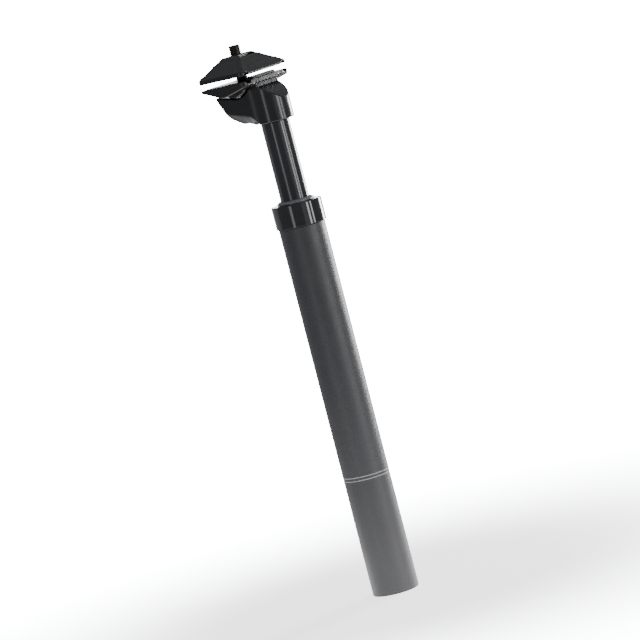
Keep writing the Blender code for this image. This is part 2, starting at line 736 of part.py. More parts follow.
def build_lower_clamp(carrier):
    top = -JAW_GAP / 2
    rear = -math.pi + math.acos(ROCKER_REAR / ROCKER_RADIUS)
    front = -math.acos(ROCKER_FRONT / ROCKER_RADIUS)
    side = [(-JAW_REAR, top), (-JAW_REAR, -JAW_REAR_EDGE)]
    side += arc((0, 0), ROCKER_RADIUS, rear, front, 2 * FINE_ARC)
    side += [(JAW_FRONT, -JAW_FRONT_EDGE), (JAW_FRONT, top)]
    deep = 2 * ROCKER_RADIUS
    corners = [
        (JAW_Y, 0, 0),
        (JAW_Y, -JAW_DEPTH, JAW_ROUND),
        (ROCKER_HALF, -JAW_DEPTH, 0),
        (ROCKER_HALF, -deep, 0),
        (-ROCKER_HALF, -deep, 0),
        (-ROCKER_HALF, -JAW_DEPTH, 0),
        (-JAW_Y, -JAW_DEPTH, JAW_ROUND),
        (-JAW_Y, 0, 0),
    ]
    clamp = clamp_solid("lower_clamp", side, filleted(corners), DARK_CAST, carrier)
    place = (BOLT_X, 0, PIVOT_Z)
    relief = [
        (ROCKER_FRONT, -deep),
        (JAW_FRONT - HOLLOW_LIP, -deep),
        (JAW_FRONT - HOLLOW_LIP, -HOLLOW_CEILING),
        (ROCKER_FRONT, -HOLLOW_CEILING),
    ]
    boolean(clamp, slab_cutter("ridge_relief", relief, 2 * ROCKER_HALF, SIDE_VIEW, place))
    slot = stadium(slot_half_length(ROCKER_RADIUS), SLOT_HALF_WIDTH)
    boolean(clamp, slab_cutter("lower_slot", slot, 4 * ROCKER_RADIUS, PLAN_VIEW, place))


def build_upper_clamp(carrier):
    low = JAW_GAP / 2
    side = filleted(
        [
            (JAW_FRONT, low, 0),
            (JAW_FRONT, BROW_EAVE_HEIGHT, 0),
            (ROOF_FRONT, ROOF_HEIGHT, JAW_ROUND),
            (-ROOF_REAR, ROOF_HEIGHT, JAW_ROUND),
            (-JAW_REAR, EAVE_HEIGHT, 0),
            (-JAW_REAR, low, 0),
        ]
    )
    fall = (ROOF_HEIGHT - EAVE_HEIGHT) / (JAW_Y - ROOF_HALF_FLAT)
    apex = ROOF_HEIGHT + fall * ROOF_HALF_FLAT
    front = [(JAW_Y, 0), (JAW_Y, EAVE_HEIGHT), (0, apex), (-JAW_Y, EAVE_HEIGHT), (-JAW_Y, 0)]
    clamp = clamp_solid("upper_clamp", side, front, DARK_CAST, carrier)
    place = (BOLT_X, 0, PIVOT_Z)
    swing = max(TILT_UP, TILT_DOWN)
    floor_reach = NUT_HALF * math.cos(swing) + NUT_SEAT_R * math.sin(swing)
    top_reach = NUT_HALF * math.cos(swing) + NUT_HEIGHT * math.sin(swing) + FIT
    edge = math.acos(floor_reach / NUT_SEAT_R)
    floor = NUT_SEAT_R * math.sin(edge)
    pocket = arc((0, 0), NUT_SEAT_R, edge, math.pi - edge, 2 * FINE_ARC)
    pocket += [(-top_reach, floor), (-top_reach, 2 * ROOF_HEIGHT)]
    pocket += [(top_reach, 2 * ROOF_HEIGHT), (top_reach, floor)]
    wide = NUT_WIDTH + 2 * NUT_FIT
    boolean(clamp, slab_cutter("nut_pocket", pocket, wide, SIDE_VIEW, place))
    slot = stadium(slot_half_length(NUT_SEAT_R), SLOT_HALF_WIDTH)
    boolean(clamp, slab_cutter("upper_slot", slot, 4 * ROOF_HEIGHT, PLAN_VIEW, place))


def build_clamp_nut():
    """A nut whose hollow underside is centred on the tilt axis, so that the clamp tilts under it."""
    lift = pivot("clamp_nut_lift", (BOLT_X, 0, PIVOT_Z))
    radius = NUT_SEAT_R + FIT
    edge = math.acos(NUT_HALF / radius)
    outline = arc((0, 0), radius, edge, math.pi - edge, 2 * FINE_ARC)
    outline += [(-NUT_HALF, NUT_HEIGHT), (NUT_HALF, NUT_HEIGHT)]
    nut = bpy.data.objects.new("clamp_nut", slab_mesh("clamp_nut", outline, NUT_WIDTH, SIDE_VIEW))
    finish(nut, BOLT_STEEL, (BOLT_X, 0, PIVOT_Z), lift)
    place = (BOLT_X, 0, PIVOT_Z)
    boolean(nut, rod_cutter("nut_hole", BOLT_HOLE_R, 4 * NUT_HEIGHT, place, segments=32))


def main():
    build_outer_tube()
    build_top_collar()
    build_upper_bushing()
    build_wiper_seal()
    build_top_out_bumper()
    build_main_spring()
    build_preload()
    inner_post = pivot("suspension_travel", (0, 0, HEAD_Z))
    build_inner_shaft(inner_post)
    build_slider(inner_post)
    build_retaining_ring(inner_post)
    build_end_plug(inner_post)
    build_seat_head(inner_post)
    build_bolt(inner_post)
    clamp_tilt = pivot("clamp_tilt", (BOLT_X, 0, PIVOT_Z))
    build_lower_clamp(clamp_tilt)
    build_upper_clamp(clamp_tilt)
    build_clamp_nut()


main()
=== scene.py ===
"""The looks of a telescopic coil-spring seatpost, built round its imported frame.

Every piece is a surface worked out with numpy in millimetres, in the frame's own axes: +Z up the
post, +X to the front of the bicycle, +Y to its left, and the origin at the tube's bottom end.
"""

import logging
import math
from dataclasses import dataclass
from enum import Enum

import bmesh
import bpy
import numpy as np
from bpy.types import ID, Material, Node, NodeSocket, NodeTree, Object
from mathutils import Matrix, Vector


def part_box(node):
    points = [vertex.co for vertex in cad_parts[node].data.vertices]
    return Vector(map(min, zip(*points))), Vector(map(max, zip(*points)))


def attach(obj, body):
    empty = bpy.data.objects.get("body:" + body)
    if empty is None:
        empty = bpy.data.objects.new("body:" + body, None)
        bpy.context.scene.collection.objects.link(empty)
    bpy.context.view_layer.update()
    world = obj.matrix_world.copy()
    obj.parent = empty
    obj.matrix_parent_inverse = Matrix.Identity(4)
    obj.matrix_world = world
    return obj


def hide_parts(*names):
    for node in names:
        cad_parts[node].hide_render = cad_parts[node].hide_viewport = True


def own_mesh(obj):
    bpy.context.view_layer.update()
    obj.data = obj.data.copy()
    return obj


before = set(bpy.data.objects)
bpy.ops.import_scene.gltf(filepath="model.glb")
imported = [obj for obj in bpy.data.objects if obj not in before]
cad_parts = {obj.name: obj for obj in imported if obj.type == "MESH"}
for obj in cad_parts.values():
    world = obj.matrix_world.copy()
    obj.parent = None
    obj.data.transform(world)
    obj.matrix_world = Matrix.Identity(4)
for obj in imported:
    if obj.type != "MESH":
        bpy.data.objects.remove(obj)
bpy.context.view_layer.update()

MM = 0.001
RAIL_GAP = 1.8  # each clamp half stops this far from the rails' middle
BOLT_SINK = 2.0  # the bolt's head stands this far inside the recess in the head's foot
SMOOTH_UNDER = math.radians(33)
log = logging.getLogger("seatpost")

Array = np.ndarray
Corner = tuple[float, float, float]
Line = tuple[tuple[float, float], ...]


# Meshes.


def smoothstep(t: Array) -> Array:
    """An S-shaped ramp: 0 below 0, 1 above 1, and level at both ends."""
    t = np.clip(t, 0.0, 1.0)
    return t * t * (3.0 - 2.0 * t)


def edge_drop(inside: Array, radius: float | Array) -> Array:
    """How far a rounded edge falls: a quarter circle over the last `radius` before the outline.

    Args:
        inside: distance in from the outline.
        radius: the edge's radius.

    Returns:
        The fall below the flat face, the whole radius at the outline itself.
    """
    reach = np.clip(radius - inside, 0.0, radius)
    return radius - np.sqrt(np.maximum(radius**2 - reach**2, 0.0))


def rounded(corners: list[Corner], steps: int = 6) -> Array:
    """A closed outline with each corner replaced by an arc tangent to both its sides.

    Args:
        corners: (first axis, second axis, radius) in order round the outline.
        steps: segments in each arc.

    Returns:
        An (n, 2) array.
    """
    points = np.array([corner[:2] for corner in corners], float)
    parts = []
    for i, (*_, radius) in enumerate(corners):
        here = points[i]
        if radius <= 0:
            parts.append(here[None])
            continue
        back = points[i - 1] - here
        ahead = points[(i + 1) % len(points)] - here
        back /= np.linalg.norm(back)
        ahead /= np.linalg.norm(ahead)
        half = math.acos(float(np.clip(back @ ahead, -1, 1))) / 2
        middle = (back + ahead) / np.linalg.norm(back + ahead)
        centre = here + middle * radius / math.sin(half)
        start = here + back * radius / math.tan(half) - centre
        end = here + ahead * radius / math.tan(half) - centre
        angle = math.atan2(start[0] * end[1] - start[1] * end[0], start @ end)
        turn = np.linspace(0.0, angle, steps + 1)
        cos, sin = np.cos(turn), np.sin(turn)
        arc = np.stack([start[0] * cos - start[1] * sin, start[0] * sin + start[1] * cos], 1)
        parts.append(centre + arc)
    return np.concatenate(parts)


def in_scene(name: str, data: ID) -> Object:
    """A new object that holds the data, linked to the scene."""
    obj = bpy.data.objects.new(name, data)
    bpy.context.scene.collection.objects.link(obj)
    return obj


def mesh_object(name: str, points: Array, faces: list[Array]) -> Object:
    """A mesh object at the origin from points in millimetres, its doubles merged.

    Args:
        name: the piece's name.
        points: (n, 3) array.
        faces: arrays of vertex numbers, one row a face, each array with its own face size.

    Returns:
        The new object, linked to the scene.
    """
    mesh = bpy.data.meshes.new(name)
    rows = [row for block in faces for row in block.tolist()]
    mesh.from_pydata((points * MM).tolist(), [], rows)
    build = bmesh.new()
    build.from_mesh(mesh)
    bmesh.ops.remove_doubles(build, verts=build.verts, dist=1e-7)
    bmesh.ops.dissolve_degenerate(build, edges=build.edges, dist=1e-7)
    build.to_mesh(mesh)
    build.free()
    return in_scene(name, mesh)


def shade(obj: Object, is_weighted: bool = True) -> None:
    """Smooth shading, with sharp creases kept and flat faces kept flat."""
    obj.data.shade_smooth()
    obj.data.set_sharp_from_angle(angle=SMOOTH_UNDER)
    if is_weighted:
        weighted = obj.modifiers.new("flat faces stay flat", "WEIGHTED_NORMAL")
        weighted.keep_sharp = True


def grid_faces(rows: int, columns: int, wrap_rows: bool, wrap_columns: bool) -> Array:
    """Quads over a grid of vertices numbered row by row, each turning from rows to columns."""
    number = np.arange(rows * columns).reshape(rows, columns)
    if wrap_rows:
        number = np.concatenate([number, number[:1]])
    if wrap_columns:
        number = np.concatenate([number, number[:, :1]], 1)
    corners = (number[:-1, :-1], number[1:, :-1], number[1:, 1:], number[:-1, 1:])
    return np.stack([corner.ravel() for corner in corners], 1)


def round_axis(radius: Array, angle: Array, height: Array, centre_x: float = 0.0) -> Array:
    """Points (n, 3), each at its radius and angle about a vertical axis, at its height."""
    flat = (centre_x + radius * np.cos(angle), radius * np.sin(angle))
    return np.stack(np.broadcast_arrays(*flat, height), -1).reshape(-1, 3)


def revolved(
    name: str,
    profile: Array,
    is_ring: bool,
    centre_x: float = 0.0,
    segments: int = 160,
    ribs: tuple[int, float, float, float] | None = None,
) -> Object:
    """A turned piece: each profile point (r, z) sweeps a circle about a vertical axis.

    Args:
        name: the piece's name.
        profile: (n, 2) array, anticlockwise in the plane of radius and height.
        is_ring: True where the profile closes on itself, False where it runs axis to axis.
        centre_x: where the axis stands, forward of the post's own.
        segments: steps round the circle.
        ribs: count, depth and the heights between which a straight knurl cuts the radius.

    Returns:
        The object.
    """
    angle = np.linspace(0.0, math.tau, segments, endpoint=False)[:, None]
    radius = np.broadcast_to(profile[:, 0], (segments, len(profile))).copy()
    height = np.broadcast_to(profile[:, 1], radius.shape)
    if ribs:
        count, depth, low, high = ribs
        inside = (height > low) & (height < high) & (radius > profile[:, 0].max() - depth)
        radius -= inside * depth * (0.5 - 0.5 * np.cos(count * angle)) ** 2
    faces = grid_faces(segments, len(profile), True, is_ring)
    return mesh_object(name, round_axis(radius, angle, height, centre_x), [faces])


def sheet_solid(name: str, x: Array, y: Array, top: Array, bottom: Array) -> Object:
    """A solid between two height fields over one grid, with a wall round its outline.

    Args:
        name: the piece's name.
        x, y: (n, m) arrays, x growing down the rows and y along the columns.
        top, bottom: the heights of the two sheets.

    Returns:
        The object.
    """
    rows, columns = x.shape
    points = np.concatenate([np.stack([x, y, sheet], 2).reshape(-1, 3) for sheet in (top, bottom)])
    upper = grid_faces(rows, columns, False, False)
    number = np.arange(rows * columns).reshape(rows, columns)
    rim = np.concatenate([number[:-1, 0], number[-1, :-1], number[:0:-1, -1], number[0, :0:-1]])
    ahead = np.roll(rim, -1)
    below = rows * columns
    wall = np.stack([rim + below, ahead + below, ahead, rim], 1)
    return mesh_object(name, points, [upper, upper[:, ::-1] + below, wall])


def prism(name: str, outline: Array, low: float, high: float) -> Object:
    """A plan outline, anticlockwise, carried straight up from one height to another."""
    count = len(outline)
    heights = np.repeat([low, high], count)
    points = np.column_stack([np.tile(outline, (2, 1)), heights])
    index = np.arange(count)
    ahead = np.roll(index, -1)
    walls = np.stack([index, ahead, ahead + count, index + count], 1)
    ends = np.stack([index[::-1], index + count])
    return mesh_object(name, points, [walls, ends])


def swept(name: str, path: Array, radius: float, sides: int) -> Object:
    """A round wire: a circle carried along a path, square to it at each point.

    Args:
        name: the piece's name.
        path: (n, 3) array of points that winds about the post's axis.
        radius: the wire's.
        sides: points round the wire.

    Returns:
        The object, with flat ends.
    """
    along = np.gradient(path, axis=0)
    along /= np.linalg.norm(along, axis=1, keepdims=True)
    out = path * (1, 1, 0)
    out /= np.linalg.norm(out, axis=1, keepdims=True)
    out -= along * (out * along).sum(1, keepdims=True)
    out /= np.linalg.norm(out, axis=1, keepdims=True)
    across = np.cross(along, out)
    turn = np.linspace(0.0, math.tau, sides, endpoint=False)
    circle = out[:, None] * np.cos(turn)[:, None] + across[:, None] * np.sin(turn)[:, None]
    points = (path[:, None] + radius * circle).reshape(-1, 3)
    walls = grid_faces(len(path), sides, False, True)
    ring = np.arange(sides)
    ends = np.stack([ring[::-1], ring + (len(path) - 1) * sides])
    obj = mesh_object(name, points, [walls, ends])
    face_outwards(obj)
    return obj


def face_outwards(obj: Object) -> None:
    """Turns every face of a closed mesh outwards."""
    build = bmesh.new()
    build.from_mesh(obj.data)
    bmesh.ops.recalc_face_normals(build, faces=build.faces)
    build.to_mesh(obj.data)
    build.free()


def cut(obj: Object, *tools: Object) -> None:
    """Takes each tool's space out of a piece, and removes the tools."""
    for tool in tools:
        face_outwards(tool)
        difference = obj.modifiers.new(tool.name, "BOOLEAN")
        difference.object = tool
        difference.solver = "EXACT"
    graph = bpy.context.evaluated_depsgraph_get()
    made = bpy.data.meshes.new_from_object(obj.evaluated_get(graph))
    obj.modifiers.clear()
    obj.data = made
    for tool in tools:
        bpy.data.objects.remove(tool)


def circle(radius: float, centre: tuple[float, float], sides: int) -> Array:
    """A circle's plan outline, anticlockwise, with a corner to the front."""
    turn = np.linspace(0.0, math.tau, sides, endpoint=False)
    return radius * np.stack([np.cos(turn), np.sin(turn)], 1) + centre


def stadium(centre_x: float, half_length: float, half_width: float) -> Array:
    """A slot's plan outline: two half circles joined by straight sides along X."""
    turn = np.linspace(-math.pi / 2, math.pi / 2, 25)
    straight = half_length - half_width
    front = np.stack([straight + half_width * np.cos(turn), half_width * np.sin(turn)], 1)
    return np.concatenate([front, -front]) + (centre_x, 0)


def hexagon(centre_x: float, across_flats: float) -> Array:
    """A hexagon's plan outline, with a corner to the front."""
    return circle(across_flats / math.sqrt(3), (centre_x, 0.0), 6)


def box_inside(qx: Array, qy: Array, corner: float) -> Array:
    """Distance in from a rounded rectangle.

    Args:
        qx, qy: how far past the corners' own centres each point lies, along each axis.
        corner: the corners' radius.

    Returns:
        The distance, below 0 outside it.
    """
    outside = np.hypot(np.maximum(qx, 0), np.maximum(qy, 0))
    return corner - outside - np.minimum(np.maximum(qx, qy), 0)


def along_line(x: Array, line: Line) -> Array:
    """The height at each x on straight runs between the line's points (x, height)."""
    return np.interp(x, *np.array(line).T)


def spread(low: float, high: float, step: float) -> Array:
    """Evenly spaced numbers from low to high, about a step apart."""
    return np.linspace(low, high, max(2, round((high - low) / step) + 1))


def merged(*groups: Array | list[float], apart: float = 0.004) -> Array:
    """All the numbers in order, leaving out any that lies closer than `apart` to the last."""
    values = np.unique(np.concatenate([np.asarray(group, float) for group in groups]))
    return values[np.concatenate([[True], np.diff(values) > apart])]


# Finishes.


def linear(hex_colour: str) -> tuple[float, float, float, float]:
    """An sRGB hex colour as linear RGBA."""
    channels = [int(hex_colour[i : i + 2], 16) / 255 for i in (1, 3, 5)]
    lit = [c / 12.92 if c <= 0.04045 else ((c + 0.055) / 1.055) ** 2.4 for c in channels]
    return (lit[0], lit[1], lit[2], 1.0)


def fill(node: Node, inputs: dict[str | int, object]) -> None:
    """Gives a node's inputs their values, or links other nodes' outputs to them."""
    for key, value in inputs.items():
        if isinstance(value, NodeSocket):
            node.id_data.links.new(value, node.inputs[key])
        else:
            node.inputs[key].default_value = value


def add_node(
    tree: NodeTree, kind: str, inputs: dict[str | int, object], **settings: object
) -> Node:
    """Adds a node, sets its options, and fills or links its inputs.

    Args:
        tree: the node tree.
        kind: Blender's name for the node, after ShaderNode.
        inputs: values, or other nodes' outputs, by the socket's name or number.
        settings: the node's own options.

    Returns:
        The node.
    """
    node = tree.nodes.new(f"ShaderNode{kind}")
    for key, value in settings.items():
        setattr(node, key, value)
    fill(node, inputs)
    return node


class Texture(Enum):
    """What gives a surface its fine relief: its noise's octaves, and how much each one keeps."""

    BLASTED = (3.0, 0.75)
    TURNED = (3.0, 0.5)
    CAST = (5.0, 0.55)
    MOULDED = (2.0, 0.55)
    PEEL = (1.0, 0.55)


@dataclass(frozen=True)
class Finish:
    """A surface finish: a colour with its light variation, its gloss, and a fine relief."""

    name: str
    slot: str
    dark: str
    light: str
    texture: Texture
    grain_mm: float
    relief_mm: float
    rough_low: float
    rough_high: float
    metallic: float = 0.0
    ior: float = 1.5
    coat: float = 0.0
    coat_roughness: float = 0.05
    smudge_mm: float = 18.0
    marks: tuple[float, ...] = ()
    etch: str = "#8d8f92"

    def pattern(self, tree: NodeTree) -> NodeSocket:
        """The fine relief, from 0 to 1, in Object coordinates."""
        place = add_node(tree, "TexCoord", {}).outputs["Object"]
        if self.texture is Texture.TURNED:
            # Tool marks run round the axis, so the noise is stretched flat along each turn.
            mapped = {"Vector": place, "Scale": (0.04, 0.04, 1.0)}
            place = add_node(tree, "Mapping", mapped).outputs[0]
        detail, roughness = self.texture.value
        scale = 1 / (self.grain_mm * MM)
        noise = {"Vector": place, "Scale": scale, "Detail": detail, "Roughness": roughness}
        return add_node(tree, "TexNoise", noise).outputs["Fac"]

    def etched(self, tree: NodeTree, colour: NodeSocket) -> NodeSocket:
        """The colour with a pale etched ring between each pair of heights in the marks."""
        place = add_node(tree, "TexCoord", {}).outputs["Object"]
        height = add_node(tree, "SeparateXYZ", {0: place}).outputs["Z"]
        for low, high in zip(self.marks[::2], self.marks[1::2]):
            ring = {0: height, 1: (low + high) / 2 * MM, 2: (high - low) / 2 * MM}
            near = add_node(tree, "Math", ring, operation="COMPARE")
            colours = {0: near.outputs[0], 6: colour, 7: linear(self.etch)}
            colour = add_node(tree, "Mix", colours, data_type="RGBA").outputs[2]
        return colour

    def material(self) -> Material:
        """The finish as a node material."""
        made = bpy.data.materials.get(self.name)
        if made:
            return made
        made = bpy.data.materials.new(self.name)
        made.use_nodes = True
        tree = made.node_tree
        shader = tree.nodes["Principled BSDF"]
        grain = self.pattern(tree)
        place = add_node(tree, "TexCoord", {}).outputs["Object"]
        noise = {"Vector": place, "Scale": 1 / (self.smudge_mm * MM), "Detail": 4.0}
        smudge = add_node(tree, "TexNoise", noise).outputs["Fac"]
        spots = add_node(tree, "MapRange", {0: grain, 1: 0.25, 2: 0.75, 3: 0.0, 4: 1.0})
        colours = {0: spots.outputs[0], 6: linear(self.dark), 7: linear(self.light)}
        colour = add_node(tree, "Mix", colours, data_type="RGBA").outputs[2]
        if self.marks:
            colour = self.etched(tree, colour)
        wear = add_node(tree, "Math", {0: grain, 1: 0.35, 2: smudge}, operation="MULTIPLY_ADD")
        levels = {0: wear.outputs[0], 1: 0.4, 2: 0.9, 3: self.rough_low, 4: self.rough_high}
        relief = {"Height": grain, "Distance": self.relief_mm * MM, "Strength": 1.0}
        surface = {
            "Base Color": colour,
            "Roughness": add_node(tree, "MapRange", levels).outputs[0],
            "Normal": add_node(tree, "Bump", relief).outputs[0],
            "Metallic": self.metallic,
            "Coat Weight": self.coat,
            "Coat Roughness": self.coat_roughness,
        }
        fill(shader, surface if self.metallic else surface | {"IOR": self.ior})
        return made

    def dress(self, obj: Object) -> None:
        """Puts this finish on every face of a piece."""
        obj.data.materials.clear()
        obj.data.materials.append(self.material())


# Black-dyed anodic film over bead-blasted aluminium. The film is aluminium oxide, hence its IOR.
# The dents are drawn about 0.6 mm across, coarser than life, so that they show as a fine speckle.
# Two rings, 0.6 mm broad, mark how deep the tube has to stand in the frame.
BLASTED_TUBE = Finish(
    "bead-blasted black anodised aluminium", "satin_tube", "#1b1b1e", "#303034",
    Texture.BLASTED, 0.60, 0.016, 0.40, 0.52, ior=1.65, marks=(78.0, 78.6, 80.2, 80.8),
)
# The same film over a polished collar and shaft: deep, and glossy enough for sharp reflections.
POLISHED_SHAFT = Finish(
    "polished hard anodised aluminium", "gloss_shaft", "#141518", "#191a1e",
    Texture.TURNED, 0.60, 0.00005, 0.14, 0.20, ior=1.65,
)
POLISHED_COLLAR = Finish(
    "polished black anodised aluminium", "gloss_collar", "#121214", "#17171a",
    Texture.TURNED, 0.60, 0.00005, 0.08, 0.13, ior=1.65,
)
# Gloss lacquer over forged aluminium: a faint orange peel about 1.5 mm across.
GLOSS_PAINT = Finish(
    "gloss black lacquer", "head_paint", "#131315", "#18181b",
    Texture.PEEL, 1.5, 0.006, 0.16, 0.26, coat=0.2, coat_roughness=0.06,
)
# Thinner, flatter coat over shot-peened forgings, which lets their grain through.
SATIN_FORGING = Finish(
    "satin black forging", "clamp_black", "#181716", "#201f1d",
    Texture.CAST, 0.6, 0.006, 0.20, 0.30,
)
# Blackened, oiled steel: brown-grey, with the lathe's rings in it every 0.2 mm.
BLACK_OXIDE = Finish(
    "black oxide steel", "bolt_steel", "#4a4744", "#57534f",
    Texture.TURNED, 0.2, 0.0015, 0.28, 0.40, metallic=1.0,
)
GROUND_STEEL = Finish(
    "ground steel", "key_steel", "#b9babc", "#c6c7c9",
    Texture.TURNED, 0.12, 0.001, 0.18, 0.28, metallic=1.0,
)
SPRING_STEEL = Finish(
    "oil-tempered spring steel", "spring_steel", "#83858a", "#96989d",
    Texture.CAST, 0.8, 0.003, 0.24, 0.36, metallic=1.0,
)
# Grey nitrile, moulded in a polished tool and wet with the shaft's oil.
WIPER_RUBBER = Finish(
    "moulded nitrile rubber", "wiper_rubber", "#6c6e72", "#7a7c80",
    Texture.MOULDED, 0.5, 0.004, 0.26, 0.36, ior=1.52,
)
ACETAL = Finish(
    "machined acetal", "acetal", "#cdc9bf", "#d8d5cc",
    Texture.TURNED, 0.3, 0.003, 0.38, 0.50, ior=1.48,
)
URETHANE = Finish(
    "cast polyurethane", "elastomer", "#8f9440", "#9ba04a",
    Texture.MOULDED, 1.2, 0.010, 0.35, 0.50, ior=1.5,
)
TURNED_ALUMINIUM = Finish(
    "turned aluminium", "bare_aluminium", "#c3c4c7", "#d2d3d5",
    Texture.TURNED, 0.2, 0.0015, 0.22, 0.34, metallic=1.0,
)


def place_piece(
    obj: Object, finish: Finish, body: str, *nodes: str, is_weighted: bool = True
) -> Object:
    """Shades and dresses a finished piece, sets it on its body, and hides the nodes it replaces.

    Args:
        obj: the piece.
        finish: what it is dressed in.
        body: the frame's body that carries it.
        nodes: the frame's nodes that it replaces.
        is_weighted: False for a piece with no flat faces.

    Returns:
        The piece.
    """
    shade(obj, is_weighted)
    finish.dress(obj)
    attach(obj, body)
    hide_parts(*nodes)
    log.info("%s: %d faces, on %s", obj.name, len(obj.data.polygons), body)
    return obj


@dataclass
class Datum:
    """Heights and places read off the frame, in millimetres, that the pieces are built from."""

    bolt_x: float
    head_z: float
    tilt_z: float

    @classmethod
    def of_frame(cls) -> "Datum":
        """Reads them from the boxes of the bolt and the lower clamp."""
        bolt_low, bolt_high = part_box("clamp_bolt")
        jaw_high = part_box("lower_clamp")[1]
        return cls(
            bolt_x=(bolt_low.x + bolt_high.x) / 2 / MM,
            head_z=bolt_low.z / MM - BOLT_SINK,
            tilt_z=jaw_high.z / MM + RAIL_GAP,
        )


def node_box(name: str) -> tuple[Array, Array]:
    """A frame node's lowest and highest corners, in millimetres."""
    low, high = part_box(name)
    return np.array(low) / MM, np.array(high) / MM


# The outer post.


@dataclass
class OuterPost:
    """The clamped tube with its collar, wiper and coil spring."""

    tube_bore: float = 12.85
    tube_edge: float = 0.7
    neck_radius: float = 14.5
    groove_radius: float = 1.6
    groove_run: float = 58.0
    collar_edge: float = 0.6
    collar_foot: float = 0.25
    lip_radius: float = 11.7
    shaft_bore: float = 9.65
    spring_wire: float = 1.7
    spring_turns: float = 13.0
    preload_stroke: float = 7.5
    stroke: float = 50.0

    def build_tube(self) -> None:
        """A tube with a stepped neck, rounded ends and two key grooves down its bore."""
        low, high = node_box("outer_tube")
        radius = high[0]
        shoulder = node_box("top_collar")[0][2] - 0.3
        profile = rounded([
            (radius, low[2], self.tube_edge),
            (radius, shoulder, 0.4),
            (self.neck_radius, shoulder, 0.0),
            (self.neck_radius, high[2], 0.4),
            (self.tube_bore, high[2], 0.3),
            (self.tube_bore, low[2], 0.5),
        ])
        tube = revolved("outer_tube_shell", profile, True, segments=192)
        grooves = []
        for side in ("left", "right"):
            key_low, key_high = node_box(f"guide_key_{side}")
            outline = circle(self.groove_radius, (0.0, (key_low[1] + key_high[1]) / 2), 24)
            bottom = key_low[2] - self.groove_run
            grooves.append(prism(f"groove_{side}", outline, bottom, high[2] + 2.0))
        cut(tube, *grooves)
        place_piece(tube, BLASTED_TUBE, "outer_post", "outer_tube")

    def build_collar(self) -> None:
        """A smooth screwed collar with narrow rounded edges and an inward lip."""
        low, high = node_box("top_collar")
        radius = high[0]
        lip = high[2] - 1.4
        profile = rounded([
            (radius, low[2], self.collar_foot),
            (radius, high[2], self.collar_edge),
            (self.lip_radius, high[2], 0.15),
            (self.lip_radius, lip, 0.1),
            (self.neck_radius + 0.3, lip, 0.0),
            (self.neck_radius + 0.3, low[2], 0.2),
        ], steps=8)
        collar = revolved("collar_ring", profile, True, segments=192)
        place_piece(collar, POLISHED_COLLAR, "outer_post", "top_collar")

    def build_wiper(self) -> None:
        """A rubber ring with a raised lip that thins towards the shaft."""
        low, high = node_box("wiper_seal")
        stem = low[2] + 1.7
        profile = rounded([
            (self.lip_radius - 0.3, low[2], 0.1),
            (self.lip_radius - 0.3, stem, 0.0),
            (high[0], stem, 0.15),
            (high[0], stem + 0.9, 0.35),
            (high[0] - 1.1, high[2] - 0.35, 0.4),
            (self.shaft_bore + 0.55, high[2], 0.2),
            (self.shaft_bore, high[2] - 0.5, 0.1),
            (self.shaft_bore, low[2], 0.1),
        ])
        wiper = revolved("wiper_ring", profile, True, segments=128)
        place_piece(wiper, WIPER_RUBBER, "outer_post", "wiper_seal")

    def build_spring(self) -> None:
        """A coil in two halves, each its own piece on the outer post.

        The height climbs evenly with the angle, slower over the closed turn at each end.
        """
        low, high = node_box("main_spring")
        bottom, top = low[2] + self.spring_wire, high[2] - self.spring_wire
        radius = high[0] - self.spring_wire
        closed_rise = 1.15 * 2 * self.spring_wire
        pitch = (top - bottom - 2 * closed_rise) / (self.spring_turns - 2)
        turn = np.linspace(0.0, self.spring_turns, int(self.spring_turns * 36) + 1)
        open_turns = np.clip(turn - 1, 0.0, self.spring_turns - 2)
        height = bottom + pitch * open_turns + closed_rise * (turn - open_turns)
        path = round_axis(radius, turn * math.tau, height)
        half = len(path) // 2
        middle = path[half, 2]
        lower_share = self.preload_stroke / (middle - low[2])
        upper_share = self.stroke / (high[2] - middle)
        halves = {
            "spring_lower": (path[: half + 1], "preload_travel", lower_share),
            "spring_upper": (path[half:], "suspension_travel", upper_share),
        }
        for name, (part, joint, share) in halves.items():
            coil = swept(name, part, self.spring_wire, 16)
            place_piece(coil, SPRING_STEEL, "outer_post", "main_spring", is_weighted=False)
            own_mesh(coil)

    def build(self) -> None:
        """All the outer post's pieces."""
        self.build_tube()
        self.build_collar()
        self.build_wiper()
        self.build_spring()


# The head.


